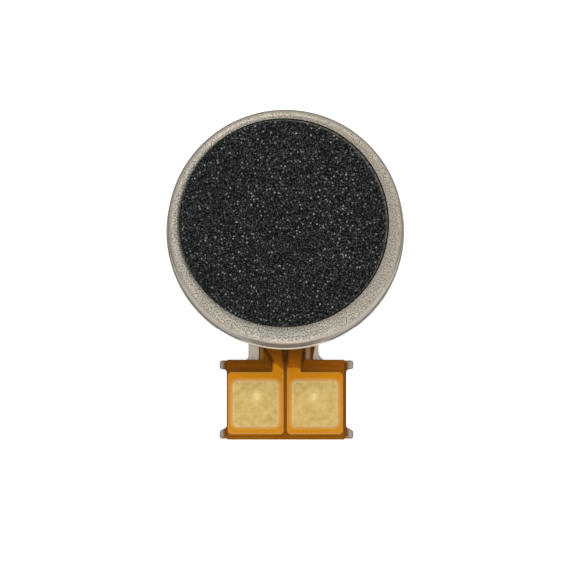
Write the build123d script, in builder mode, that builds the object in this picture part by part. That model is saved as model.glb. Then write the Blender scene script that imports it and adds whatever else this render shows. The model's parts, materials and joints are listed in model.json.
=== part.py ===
from build123d import *
from math import cos, radians, sin
import os

# Brushed vibration coin motor with a rigid contact tail. Millimetres, +Z up through the cover.
# The origin is where the shaft's axis meets the underside of the base plate. The tail points to -Y.

# Drawn case: a cup, open downwards, whose skirt flares a little towards the foot, around the base plate
skirt_radius = 5.00
skirt_top_radius = 4.985
skirt_height = 0.55
skirt_thickness = 0.23
skirt_edge = 0.05
wall_radius = 4.93
case_height = 2.70
case_thickness = 0.20
shoulder_radius = 0.30
inner_corner_radius = 0.12

# Steel base plate: a disc inside the case, a neck and an eared plate under the contacts
plate_thickness = 0.20
plate_fit = 0.01
disc_radius = skirt_radius - skirt_thickness - plate_fit
neck_left = -1.55
neck_right = 1.40
neck_left_round = 0.20
neck_right_round = 0.38
tail_centre = 0.05
tail_half_width = 2.51
ear_half_width = 2.81
tail_near = -5.43
tail_far = -8.72
upper_ear_depth = 0.37
lower_ear_depth = 0.34
ear_slope = 0.14
ear_round = 0.11
ear_root_round = 0.14
notch_clearance = 0.07
notch_height = 0.36
boss_radius = 0.72
boss_top = 0.75
shaft_mouth = 0.06

# Shaft, bearing and thrust washers
shaft_radius = 0.40
shaft_recess = 0.03
shaft_chamfer = 0.05
running_clearance = 0.02
washer_thickness = 0.10
washer_outer_radius = 0.70
bearing_low = 0.87
bearing_step = 1.37
bearing_high = 2.36
bearing_lower_radius = 0.70
bearing_upper_radius = 0.95
bearing_chamfer = 0.05

# Flexible circuit, from the steel up: bond tape, base film, copper, coverlay
layer_thickness = 0.03
coverlay_thickness = 0.06
tape_low = plate_thickness
base_film_low = tape_low + layer_thickness
copper_low = base_film_low + layer_thickness
copper_high = copper_low + layer_thickness
coverlay_high = copper_low + coverlay_thickness
film_disc_radius = 4.45
film_hole_radius = 0.80
film_centre = 0.02
film_half_width = 2.455
film_near = -5.42
film_far = -8.76
film_corner = 0.06
film_neck_left = -1.09
film_neck_right_start = 1.24
film_neck_right_end = 1.12
film_neck_root = 0.08

# Copper traces, mirrored about the tail's centre line, and the gold contacts in their windows
trace_gap = 0.15
trace_outer = 2.41
trace_near = -5.93
trace_far = -8.54
trace_corner = 0.17
trace_neck_width = 0.86
trace_neck_end = -4.96
trace_bend = -3.20
land_inner = 0.68
land_outer = 1.42
land_near = -0.78
land_far = -1.62
neck_taper = {"left": (0.53, -5.47), "right": (0.63, -5.72)}
contact_pitch = 2.49
contact_side = 1.96
contact_y = -7.26
contact_corner = 0.20
contact_inset = 0.01
contact_thickness = 0.02

# Brushes: split spring strips soldered to the traces' inner ends
brush_x = 1.05
brush_width = 0.44
brush_slot_width = 0.06
brush_thickness = 0.06
brush_foot_start = -1.50
brush_foot_end = -0.90
brush_crest_y = 1.00
brush_crest_top = 1.20
brush_tip_y = 1.22
brush_tip_drop = 0.10
brush_window = (0.60, 0.78)
solder_radius = 0.17
solder_height = 0.10

# Ring magnet
magnet_inner_radius = 2.20
magnet_outer_radius = 4.35
magnet_high = 1.05
magnet_chamfer = 0.06

# Rotor: half disc board with the commutator below, coils, weight and moulding above
rotor_radius = 4.45
rotor_edge_y = -0.45
rotor_corner = 0.30
board_low = 1.25
board_hub_radius = 2.15
commutator_inner_radius = 0.95
commutator_outer_radius = 1.70
commutator_gap = 0.08
commutator_thickness = 0.03
segment_count = 6
coil_outer_radius = 1.40
coil_inner_radius = 0.50
coil_orbit = 2.85
coil_angle = 28
coil_low = 1.42
coil_high = 2.15
coil_round = 0.08
pocket_clearance = 0.03
weight_inner_radius = 2.20
weight_half_angle = 48
weight_high = 2.25
weight_chamfer = 0.05
mould_hub_radius = 1.60
joint_orbit = 1.93
joint_radius = 0.12
joint_height = 0.05
joint_angles = (20, 48, 132, 160)

# Foam pad and its adhesive, set off centre away from the tail
adhesive_radius = 4.37
adhesive_centre = (-0.045, 0.167)
adhesive_thickness = 0.05
foam_radius = 4.32
foam_centre = (-0.12, 0.11)
foam_thickness = 0.30
foam_round = 0.05


def outline(corners, height):
    """A closed outline at a height, from (x, y, corner radius) points."""
    with BuildSketch(Plane.XY.offset(height)) as shape:
        with BuildLine():
            FilletPolyline(
                *[(x, y) for x, y, _ in corners],
                radius=[corner for _, _, corner in corners],
                close=True,
            )
        make_face()
    return shape.sketch


def tail_plate_corners():
    """The neck and eared plate, from inside the disc round to the disc again."""
    upper_ear_end = tail_near - upper_ear_depth
    lower_ear_tip = tail_far + lower_ear_depth
    lower_ear_root = lower_ear_tip + ear_slope
    side = [
        (ear_half_width, tail_near, ear_round),
        (ear_half_width, upper_ear_end, ear_round),
        (tail_half_width, upper_ear_end, ear_root_round),
        (tail_half_width, lower_ear_root, ear_root_round),
        (ear_half_width, lower_ear_tip, ear_round),
        (ear_half_width, tail_far, ear_round),
    ]
    right = [(tail_centre + x, y, corner) for x, y, corner in side]
    left = [(tail_centre - x, y, corner) for x, y, corner in reversed(side)]
    disc_overlap = -disc_radius / 2
    return [
        (neck_right, disc_overlap, 0),
        (neck_right, tail_near, neck_right_round),
        *right,
        *left,
        (neck_left, tail_near, neck_left_round),
        (neck_left, disc_overlap, 0),
    ]


def film_outline(height):
    """The shared outline of the bond tape and films: a disc in the case, a neck and the pad area."""
    disc_overlap = -film_disc_radius / 2
    corners = [
        (film_neck_right_start, disc_overlap, 0),
        (film_neck_right_start, -disc_radius, 0),
        (film_neck_right_end, film_near, film_neck_root),
        (film_centre + film_half_width, film_near, film_corner),
        (film_centre + film_half_width, film_far, film_corner),
        (film_centre - film_half_width, film_far, film_corner),
        (film_centre - film_half_width, film_near, film_corner),
        (film_neck_left, film_near, film_neck_root),
        (film_neck_left, disc_overlap, 0),
    ]
    with BuildSketch(Plane.XY.offset(height)) as film:
        Circle(film_disc_radius)
        add(outline(corners, 0))
        Circle(film_hole_radius, mode=Mode.SUBTRACT)
    return film.sketch


def trace_outline(side, height):
    """One copper trace: a square end under the contact, a neck, and a land for the brush."""
    sign = {"left": -1, "right": 1}[side]
    taper_x, taper_y = neck_taper[side]
    corners = [
        (trace_gap / 2, trace_far, trace_corner),
        (trace_outer, trace_far, trace_corner),
        (trace_outer, trace_near, trace_corner),
        (taper_x, trace_near, trace_corner / 2),
        (taper_x, taper_y, 0),
        (trace_neck_width, trace_neck_end, 0),
        (trace_neck_width, trace_bend, 0),
        (land_outer, land_far, 0),
        (land_outer, land_near, trace_corner),
        (land_inner, land_near, trace_corner),
        (land_inner, land_far, 0),
        (trace_gap / 2, trace_bend, 0),
    ]
    return outline([(sign * x, y, corner) for x, y, corner in corners], height)


def half_disc(hub_radius, height):
    """The rotor's outline: most of a half disc, and a round hub about the bearing."""
    with BuildSketch(Plane.XY.offset(height)) as shape:
        Circle(rotor_radius)
        with Locations((0, rotor_edge_y)):
            Rectangle(
                2 * rotor_radius,
                2 * rotor_radius,
                align=(Align.CENTER, Align.MAX),
                mode=Mode.SUBTRACT,
            )
        fillet(shape.vertices(), rotor_corner)
        Circle(hub_radius)
    return shape.sketch


def dome(x, y, height, radius, rise):
    """A solder dome: a flat ended cap of the given radius and rise."""
    sphere_radius = (radius**2 + rise**2) / (2 * rise)
    with BuildPart() as cap:
        with BuildSketch(Plane.XZ.offset(-y)):
            with Locations((x, height + rise - sphere_radius)):
                Circle(sphere_radius)
            with Locations((x, height)):
                Rectangle(
                    2 * sphere_radius,
                    2 * sphere_radius,
                    align=(Align.CENTER, Align.MAX),
                    mode=Mode.SUBTRACT,
                )
            with Locations((x, height)):
                Rectangle(
                    2 * sphere_radius,
                    2 * sphere_radius,
                    align=(Align.MAX, Align.CENTER),
                    mode=Mode.SUBTRACT,
                )
        revolve(axis=Axis((x, y, 0), (0, 0, 1)))
    return cap.part


def coil_centre(angle):
    return coil_orbit * cos(radians(angle)), coil_orbit * sin(radians(angle))


coil_centres = [coil_centre(coil_angle), coil_centre(180 - coil_angle)]
signs = {"left": -1, "right": 1}
pieces = {}

# Case cup
with BuildPart() as case_cup:
    with BuildSketch():
        Circle(wall_radius)
    extrude(amount=case_height)
    fillet(case_cup.edges().group_by(Axis.Z)[-1], shoulder_radius)
    Cone(
        skirt_radius,
        skirt_top_radius,
        skirt_height,
        align=(Align.CENTER, Align.CENTER, Align.MIN),
    )
    round_edges = case_cup.edges().filter_by(GeomType.CIRCLE)
    fillet(round_edges.filter_by(lambda edge: edge.radius == skirt_top_radius), skirt_edge)
    with BuildSketch():
        Circle(wall_radius - case_thickness)
    extrude(amount=case_height - case_thickness, mode=Mode.SUBTRACT)
    fillet(case_cup.faces().filter_by(Plane.XY).sort_by(Axis.Z)[-2].edges(), inner_corner_radius)
    with BuildSketch():
        Circle(skirt_radius - skirt_thickness)
    extrude(amount=plate_thickness, mode=Mode.SUBTRACT)
    with BuildSketch():
        with Locations(((neck_left + neck_right) / 2, -skirt_radius)):
            Rectangle(neck_right - neck_left + 2 * notch_clearance, skirt_radius / 2)
    extrude(amount=notch_height, mode=Mode.SUBTRACT)
pieces["case_cup"] = case_cup

# Base plate with a drawn boss that grips the shaft
with BuildPart() as bracket:
    with BuildSketch():
        Circle(disc_radius)
        add(outline(tail_plate_corners(), 0))
    extrude(amount=plate_thickness)
    with BuildSketch():
        Circle(boss_radius)
    extrude(amount=boss_top)
    with BuildSketch():
        Circle(shaft_radius)
    extrude(amount=boss_top, mode=Mode.SUBTRACT)
    bore_edges = bracket.faces().sort_by(Axis.Z)[0].edges().filter_by(GeomType.CIRCLE)
    chamfer(bore_edges.filter_by(lambda edge: edge.radius == shaft_radius), shaft_mouth)
pieces["bracket"] = bracket

# Shaft
with BuildPart() as shaft:
    with BuildSketch(Plane.XY.offset(shaft_recess)):
        Circle(shaft_radius)
    extrude(amount=case_height - case_thickness - shaft_recess)
    chamfer(shaft.edges().filter_by(GeomType.CIRCLE), shaft_chamfer)
pieces["shaft"] = shaft

# Thrust washers, below and above the bearing
washer_levels = {"lower_washer": boss_top, "upper_washer": case_height - case_thickness - washer_thickness}
for washer_name, washer_low in washer_levels.items():
    with BuildPart() as washer:
        with BuildSketch(Plane.XY.offset(washer_low)):
            Circle(washer_outer_radius)
            Circle(shaft_radius + running_clearance, mode=Mode.SUBTRACT)
        extrude(amount=washer_thickness)
    pieces[washer_name] = washer

# Ring magnet on the flexible circuit
with BuildPart() as magnet_ring:
    with BuildSketch(Plane.XY.offset(coverlay_high)):
        Circle(magnet_outer_radius)
        Circle(magnet_inner_radius, mode=Mode.SUBTRACT)
    extrude(amount=magnet_high - coverlay_high)
    chamfer(magnet_ring.edges().group_by(Axis.Z)[-1], magnet_chamfer)
pieces["magnet_ring"] = magnet_ring

# Bond tape and base film
for layer_name, layer_low in {"fpc_bond_tape": tape_low, "fpc_base_film": base_film_low}.items():
    with BuildPart() as layer:
        extrude(film_outline(layer_low), amount=layer_thickness)
    pieces[layer_name] = layer

# Copper traces
for side in signs:
    with BuildPart() as copper_trace:
        extrude(trace_outline(side, copper_low), amount=layer_thickness)
    pieces[f"fpc_trace_{side}"] = copper_trace

# Coverlay, open over the contacts and the brush lands
with BuildPart() as fpc_coverlay:
    extrude(film_outline(copper_low), amount=coverlay_thickness)
    for side in signs:
        extrude(trace_outline(side, copper_low), amount=layer_thickness, mode=Mode.SUBTRACT)
    with BuildSketch(Plane.XY.offset(copper_low)):
        with Locations((0, contact_y)):
            with GridLocations(contact_pitch, 0, 2, 1):
                RectangleRounded(contact_side, contact_side, contact_corner)
        with Locations((0, (brush_foot_start + brush_foot_end) / 2)):
            with GridLocations(2 * brush_x, 0, 2, 1):
                Rectangle(*brush_window)
    extrude(amount=coverlay_thickness, mode=Mode.SUBTRACT)
pieces["fpc_coverlay"] = fpc_coverlay

# Gold contacts in the coverlay's windows
for side, sign in signs.items():
    with BuildPart() as contact:
        with BuildSketch(Plane.XY.offset(copper_high)):
            with Locations((sign * contact_pitch / 2, contact_y)):
                RectangleRounded(
                    contact_side - 2 * contact_inset,
                    contact_side - 2 * contact_inset,
                    contact_corner,
                )
        extrude(amount=contact_thickness)
    pieces[f"contact_pad_{side}"] = contact

# Brushes: a flat foot, a rising arm and a turned down tip, split lengthways past the foot
for side, sign in signs.items():
    foot_middle = copper_high + brush_thickness / 2
    crest_middle = brush_crest_top - brush_thickness / 2
    with BuildPart() as brush:
        with BuildSketch(Plane.YZ.offset(sign * brush_x - brush_width / 2)):
            with BuildLine():
                FilletPolyline(
                    (brush_foot_start, foot_middle),
                    (brush_foot_end, foot_middle),
                    (brush_crest_y, crest_middle),
                    (brush_tip_y, crest_middle - brush_tip_drop),
                    radius=brush_thickness,
                )
            trace(line_width=brush_thickness)
        extrude(amount=brush_width)
        with BuildSketch():
            with Locations((sign * brush_x, brush_foot_end)):
                Rectangle(
                    brush_slot_width,
                    brush_tip_y - brush_foot_end + brush_width,
                    align=(Align.CENTER, Align.MIN),
                )
        extrude(amount=case_height, mode=Mode.SUBTRACT)
    pieces[f"brush_{side}"] = brush

# Solder on the brushes' feet
for side, sign in signs.items():
    solder_low = copper_high + brush_thickness
    with BuildPart() as solder:
        add(dome(sign * brush_x, brush_foot_start + solder_radius, solder_low, solder_radius, solder_height))
    pieces[f"brush_solder_{side}"] = solder

# Bearing bush
with BuildPart() as bearing:
    with BuildSketch(Plane.XY.offset(bearing_low)):
        Circle(bearing_lower_radius)
    extrude(amount=bearing_high - bearing_low)
    with BuildSketch(Plane.XY.offset(bearing_step)):
        Circle(bearing_upper_radius)
    extrude(amount=bearing_high - bearing_step)
    chamfer(bearing.edges().group_by(Axis.Z)[-1], bearing_chamfer)
    chamfer(bearing.edges().group_by(Axis.Z)[0], bearing_chamfer)
    Hole(shaft_radius + running_clearance)
pieces["bearing"] = bearing

# Rotor board
with BuildPart() as rotor_board:
    extrude(half_disc(board_hub_radius, board_low), amount=bearing_step - board_low)
    with BuildSketch(Plane.XY.offset(board_low)):
        Circle(bearing_lower_radius)
    extrude(amount=bearing_step - board_low, mode=Mode.SUBTRACT)
pieces["rotor_board"] = rotor_board

# Commutator segments: one ring, parted by radial gaps of even width
segment_pitch = 360 / segment_count
for number in range(segment_count):
    with BuildPart() as segment:
        with BuildSketch(Plane.XY.offset(board_low - commutator_thickness)):
            Circle(commutator_outer_radius)
            Circle(commutator_inner_radius, mode=Mode.SUBTRACT)
            for edge_angle in (number * segment_pitch, (number + 1) * segment_pitch):
                turn = 1 if edge_angle == number * segment_pitch else -1
                with Locations(Location((0, 0), edge_angle)):
                    with Locations((0, turn * commutator_gap / 2)):
                        Rectangle(
                            4 * commutator_outer_radius,
                            2 * commutator_outer_radius,
                            align=(Align.CENTER, Align.MAX if turn == 1 else Align.MIN),
                            mode=Mode.SUBTRACT,
                        )
        extrude(amount=commutator_thickness)
    pieces[f"commutator_segment_{number + 1}"] = segment

# Coils: flat air core windings
for number, centre in enumerate(coil_centres, start=1):
    with BuildPart() as coil:
        with BuildSketch(Plane.XY.offset(coil_low)):
            with Locations(centre):
                Circle(coil_outer_radius)
                Circle(coil_inner_radius, mode=Mode.SUBTRACT)
        extrude(amount=coil_high - coil_low)
        fillet(coil.edges().filter_by(GeomType.CIRCLE), coil_round)
    pieces[f"coil_{number}"] = coil


def weight_outline(height):
    """A sector at the rotor's rim, cut back round both coils."""
    start = 90 - weight_half_angle
    inner_start = (weight_inner_radius * cos(radians(start)), weight_inner_radius * sin(radians(start)))
    outer_start = (rotor_radius * cos(radians(start)), rotor_radius * sin(radians(start)))
    with BuildSketch(Plane.XY.offset(height)) as shape:
        with BuildLine():
            Line(inner_start, outer_start)
            CenterArc((0, 0), rotor_radius, start, 2 * weight_half_angle)
            Line((-outer_start[0], outer_start[1]), (-inner_start[0], inner_start[1]))
            CenterArc((0, 0), weight_inner_radius, start, 2 * weight_half_angle)
        make_face()
        with Locations(*coil_centres):
            Circle(coil_outer_radius + pocket_clearance, mode=Mode.SUBTRACT)
    return shape.sketch


# Eccentric weight
with BuildPart() as eccentric_weight:
    extrude(weight_outline(coil_low), amount=weight_high - coil_low)
    chamfer(eccentric_weight.edges().group_by(Axis.Z)[-1], weight_chamfer)
pieces["eccentric_weight"] = eccentric_weight

# Rotor moulding: fills the half disc round the coils, the weight and the bearing
with BuildPart() as rotor_mould:
    extrude(half_disc(mould_hub_radius, bearing_step), amount=coil_high - bearing_step)
    with BuildSketch(Plane.XY.offset(coil_low)):
        with Locations(*coil_centres):
            Circle(coil_outer_radius)
            Circle(coil_inner_radius, mode=Mode.SUBTRACT)
    extrude(amount=coil_high - coil_low, mode=Mode.SUBTRACT)
    extrude(weight_outline(coil_low), amount=coil_high - coil_low, mode=Mode.SUBTRACT)
    with BuildSketch(Plane.XY.offset(bearing_step)):
        Circle(bearing_upper_radius)
    extrude(amount=coil_high - bearing_step, mode=Mode.SUBTRACT)
pieces["rotor_mould"] = rotor_mould

# Solder joints of the coil ends, under the board
with BuildPart() as coil_solder:
    for angle in joint_angles:
        joint_x = joint_orbit * cos(radians(angle))
        joint_y = joint_orbit * sin(radians(angle))
        with Locations((joint_x, joint_y, board_low)):
            Cylinder(
                joint_radius,
                joint_height,
                align=(Align.CENTER, Align.CENTER, Align.MAX),
            )
    fillet(coil_solder.edges().group_by(Axis.Z)[0], joint_height * 0.8)
pieces["coil_solder"] = coil_solder

# Foam adhesive and foam pad
with BuildPart() as foam_adhesive:
    with BuildSketch(Plane.XY.offset(case_height)):
        with Locations(adhesive_centre):
            Circle(adhesive_radius)
    extrude(amount=adhesive_thickness)
pieces["foam_adhesive"] = foam_adhesive

with BuildPart() as foam_pad:
    with BuildSketch(Plane.XY.offset(case_height + adhesive_thickness)):
        with Locations(foam_centre):
            Circle(foam_radius)
    extrude(amount=foam_thickness)
    fillet(foam_pad.edges().group_by(Axis.Z)[-1], foam_round)
pieces["foam_pad"] = foam_pad

os.makedirs("parts", exist_ok=True)
for piece_name, piece in pieces.items():
    piece.part.label = piece_name
    export_step(piece.part, f"parts/{piece_name}.step")
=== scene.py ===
"""Looks of a vibration coin motor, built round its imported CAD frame.

Shapes are worked out in millimetres, in the frame's own axes, and scaled to metres when a mesh is made.
The outlines of the flat parts are read from the CAD nodes, and their rounds put back on true arcs.
"""

import json
from math import ceil, cos, pi, radians, sin, tan

import bpy
import numpy as np
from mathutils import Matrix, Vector
from mathutils.geometry import delaunay_2d_cdt


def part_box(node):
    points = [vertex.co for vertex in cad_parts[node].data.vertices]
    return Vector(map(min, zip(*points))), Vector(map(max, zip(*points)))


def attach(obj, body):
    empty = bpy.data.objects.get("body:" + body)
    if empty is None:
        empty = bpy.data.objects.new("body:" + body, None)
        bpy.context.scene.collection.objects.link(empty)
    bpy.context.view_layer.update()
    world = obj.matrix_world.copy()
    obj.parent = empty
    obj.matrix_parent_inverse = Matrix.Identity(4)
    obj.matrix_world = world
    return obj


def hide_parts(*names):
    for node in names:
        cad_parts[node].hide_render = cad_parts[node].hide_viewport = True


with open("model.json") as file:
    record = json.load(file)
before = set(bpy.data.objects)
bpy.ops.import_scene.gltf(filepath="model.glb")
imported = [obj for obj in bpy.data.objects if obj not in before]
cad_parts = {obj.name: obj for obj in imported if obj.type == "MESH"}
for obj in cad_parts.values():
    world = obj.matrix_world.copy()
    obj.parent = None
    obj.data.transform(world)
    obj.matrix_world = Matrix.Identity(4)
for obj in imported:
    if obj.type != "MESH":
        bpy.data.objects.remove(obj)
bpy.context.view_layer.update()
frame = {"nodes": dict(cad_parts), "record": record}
record = frame["record"]
slots = {part["node"]: part["material_slot"] for part in record["subparts"]}
bodies = {node: body for body, nodes in record["behaviour"]["bodies"].items() for node in nodes}

MM = 0.001
SHARP_ANGLE = radians(40)

# Case: a drawn cup
CASE_WALL_RADIUS = 4.93
CASE_THICKNESS = 0.20
CASE_SHOULDER = 0.30
CASE_INNER_CORNER = 0.12
SKIRT_TOP_RADIUS = 4.985
SKIRT_TOP = 0.55
SKIRT_EDGE = 0.05
SKIRT_ROOT = 0.015
SKIRT_FOOT_EDGE = 0.03
SKIRT_THICKNESS = 0.23
NOTCH_CLEARANCE = 0.07
NOTCH_GAP = 0.04
NOTCH_DEPTH = 1.0
NECK_REACH = 0.6
LATHE_SEGMENTS = 384

# Sheet parts. The tail lies past its start, towards -Y
TAIL_START = -4.0
TAIL_CENTRE = 0.05
PLATE_EDGE = 0.02
EDGE_SHADE = 0.08
EAR_START = 2.1
EAR_GRID = 0.04
BOSS_RADIUS = 0.72
BOSS_EDGE = 0.05
BOSS_ROOT = 0.06
SHAFT_MOUTH = 0.06
DRILL_OVER = 0.1
LAYER_EDGE = 0.008
TAPE_OUTSET = 0.02
COVERLAY_EDGE = 0.012
ARC_STEP = 0.02
ROW_SHARE = 0.866
COVERLAY_SINK = 0.018
SINK_REACH = 0.035
COPPER_EDGE = 0.004
COVERLAY_GRID = 0.045
GRID_END = -4.6
PAD_GRID = 0.035
MARK_GRID = 0.012
MARK_SPREAD = 2.5
PAD_EDGE = 0.006
PAD_OUTSET = 0.008

# Pieces inside the case
INNER_SEGMENTS = 96
RUNNING_CLEARANCE = 0.02
MAGNET_BORE = 2.20
BEARING_STEP = 1.37
BEARING_NECK = 0.70
COIL_ROUND = 0.08
WIRE_PITCH = 0.065
WIRE_RISE = 0.02

# Foam: closed cells
FOAM_GRID = 0.0285
FOAM_EDGE = 0.05
FOAM_FOOT = 0.01
FOAM_SIDE_ROWS = 6
BLACK_EDGE = (0.03, 0.07)
CELL_PITCH = 0.138
CELL_JITTER = (0.08, 0.92)
CELL_SMALLEST = 0.6
CELL_SPREAD = 0.8
CELL_REACH = 0.062
CELL_RISE = 0.022
SIDE_RISE = 0.6
PIT_DEPTH = 0.035
PIT_SHARE = 0.16

# Studio
FLOOR_SIDE = 400.0
FLOOR_GLOW = 0.62
TENT_LIGHT = 0.95
OPENING_LIGHT = 0.45
OPENING_RIM = 0.88
OPENING_FULL = 0.985
CAMERA_ELEVATION = 86.0
CAMERA_DISTANCE = 350.0
VIEW_WIDTH = 24.2
SENSOR_WIDTH = 36.0
AIM = (0.114, -2.370, 0.0)


# ---------------------------------------------------------------- outlines

def span(node):
    """A CAD node's lowest and highest corners in millimetres."""
    low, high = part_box(node)
    return np.array(low) / MM, np.array(high) / MM


def plan(node):
    """A CAD node's centre and half its width, seen from above."""
    low, high = span(node)
    return (low + high)[:2] / 2, (high[0] - low[0]) / 2


def node_mesh(node):
    """A CAD node's points in millimetres, doubles merged, and its triangles."""
    mesh = frame["nodes"][node].data
    points = np.array([vertex.co[:] for vertex in mesh.vertices]) / MM
    merged, place = np.unique(np.round(points, 4), axis=0, return_inverse=True)
    mesh.calc_loop_triangles()
    corners = np.array([triangle.vertices[:] for triangle in mesh.loop_triangles])
    return merged, place.reshape(-1)[corners]


def signed_area(loop):
    x, y = loop.T
    return 0.5 * float(np.sum(x * np.roll(y, -1) - np.roll(x, -1) * y))


def flat_loops(node, level):
    """A node's outlines at a height: the outer one anticlockwise, then its holes clockwise."""
    points, triangles = node_mesh(node)
    at_level = np.all(np.abs(points[triangles][:, :, 2] - level) < 1e-3, axis=1)
    edges = set()
    for a, b, c in triangles[at_level].tolist():
        for edge in ((a, b), (b, c), (c, a)):
            if edge[::-1] in edges:
                edges.remove(edge[::-1])
            else:
                edges.add(edge)
    following = dict(edges)
    loops = []
    while following:
        start, at = following.popitem()
        loop = [start]
        while at != start:
            loop.append(at)
            at = following.pop(at)
        loops.append(points[loop][:, :2])
    loops.sort(key=lambda loop: -abs(signed_area(loop)))
    wanted = [1] + [-1] * (len(loops) - 1)
    return [loop if signed_area(loop) * sign > 0 else loop[::-1] for loop, sign in zip(loops, wanted)]


def on_arcs(loop):
    """The loop with its tessellated rounds put back on their circles, in short steps."""
    ahead = np.roll(loop, -1, 0) - loop
    length = np.hypot(*ahead.T)
    heading = np.arctan2(ahead[:, 1], ahead[:, 0])
    turn = (np.roll(heading, -1) - heading + pi) % (2 * pi) - pi
    even = np.isclose(length, np.roll(length, -1), rtol=0.02)
    gentle = (np.abs(turn) > 0.02) & (np.abs(turn) < 1.1)
    points = []
    for i, start in enumerate(loop):
        after = (i + 1) % len(loop)
        short = length[i] < 0.5 * min(length[i - 1], length[after])
        lone = short and np.isclose(turn[i], turn[i - 1], atol=0.02)
        if even[i] and gentle[i]:
            bend = turn[i]
        elif even[i - 1] and gentle[i - 1]:
            bend = turn[i - 1]
        elif lone and gentle[i]:
            bend = 2 * turn[i]
        else:
            bend = 0.0
        count = max(1, ceil(length[i] / ARC_STEP)) if bend else 1
        points.append(start)
        for share in range(1, count):
            part = bend * share / count
            reach = length[i] * sin(part / 2) / sin(bend / 2)
            way = heading[i] - bend / 2 + part / 2
            points.append(start + reach * np.array((cos(way), sin(way))))
    return np.array(points)


def outlines(node, from_below=False):
    """A flat node's outlines at its top or bottom, on true arcs."""
    low, high = span(node)
    return [on_arcs(loop) for loop in flat_loops(node, low[2] if from_below else high[2])]


def inset(loop, gap):
    """The loop moved by a gap to the left of its direction, which is into the material."""
    ahead = np.roll(loop, -1, 0) - loop
    ahead = ahead / np.linalg.norm(ahead, axis=1)[:, None]
    left = np.stack((-ahead[:, 1], ahead[:, 0]), 1)
    mitre = left + np.roll(left, 1, 0)
    mitre = mitre / np.sum(mitre * left, axis=1)[:, None]
    return loop + gap * mitre


def inside(points, loops):
    """Which points lie within the outlines, by the even-odd rule."""
    found = np.zeros(len(points), bool)
    x, y = points.T
    for loop in loops:
        for (x0, y0), (x1, y1) in zip(loop, np.roll(loop, -1, 0)):
            if y0 != y1:
                crossing = (y0 > y) != (y1 > y)
                found ^= crossing & (x < x0 + (y - y0) * (x1 - x0) / (y1 - y0))
    return found


def depth_in(points, loop):
    """How far points lie inside an outline, negative outside."""
    nearest = np.full(len(points), np.inf)
    for start, end in zip(loop, np.roll(loop, -1, 0)):
        along = end - start
        share = np.clip((points - start) @ along / (along @ along), 0, 1)
        gap = points - start - share[:, None] * along
        nearest = np.minimum(nearest, np.sum(gap**2, axis=1))
    return np.sqrt(nearest) * np.where(inside(points, [loop]), 1, -1)


def smoothstep(value, low, high):
    share = np.clip((value - low) / (high - low), 0, 1)
    return share * share * (3 - 2 * share)


def lattice(low, high, pitch):
    """A triangular lattice of points over a rectangle."""
    rows = np.arange(low[1], high[1], pitch * ROW_SHARE)
    columns = np.arange(low[0], high[0], pitch)
    x, y = np.meshgrid(columns, rows)
    x = x + np.where(np.arange(len(rows)) % 2, pitch / 2, 0)[:, None]
    return np.stack((x.ravel(), y.ravel()), 1)


def rounded(corners, step=ARC_STEP):
    """An open path through (x, y, round) corners, each round an arc of that radius."""
    path = []
    for i, (x, y, radius) in enumerate(corners):
        point = np.array((x, y), float)
        if radius == 0:
            path.append(point)
            continue
        back = np.array(corners[i - 1][:2], float) - point
        forth = np.array(corners[i + 1][:2], float) - point
        back /= np.linalg.norm(back)
        forth /= np.linalg.norm(forth)
        opening = np.arccos(np.clip(back @ forth, -1, 1))
        run = radius / tan(opening / 2)
        middle = back + forth
        centre = point + middle / np.linalg.norm(middle) * radius / sin(opening / 2)
        first = point + back * run - centre
        sweep = pi - opening
        sweep *= 1 if first[1] * back[0] - first[0] * back[1] > 0 else -1
        count = max(3, ceil(abs(sweep) * radius / step))
        for share in np.linspace(0, sweep, count + 1):
            path.append(centre + (cos(share) * first[0] - sin(share) * first[1],
                                  sin(share) * first[0] + cos(share) * first[1]))
    return np.array(path)


# ---------------------------------------------------------------- meshes

def fill(loops, lines=(), extra=None):
    """Points and triangles that fill outlines, with more lines and points inside them if given."""
    points, edges = [], []
    for loop in [*loops, *lines]:
        first = sum(len(group) for group in points)
        edges += [(first + i, first + (i + 1) % len(loop)) for i in range(len(loop))]
        points.append(loop)
    if extra is not None:
        points.append(extra)
    points = np.concatenate(points)
    made, _, faces, *_ = delaunay_2d_cdt([Vector(p) for p in points], edges, [], 0, 1e-7)
    points = np.array([p[:] for p in made])
    faces = np.array(faces)
    return points, faces[inside(points[faces].mean(axis=1), loops)]


def along_edge(following, start, end):
    """The points that a fill has added on an outline between two of its own points."""
    found = []
    at = following.get(start)
    while at not in (None, end) and len(found) < 20:
        found.append(at)
        at = following.get(at)
    return found if at == end else []


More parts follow.
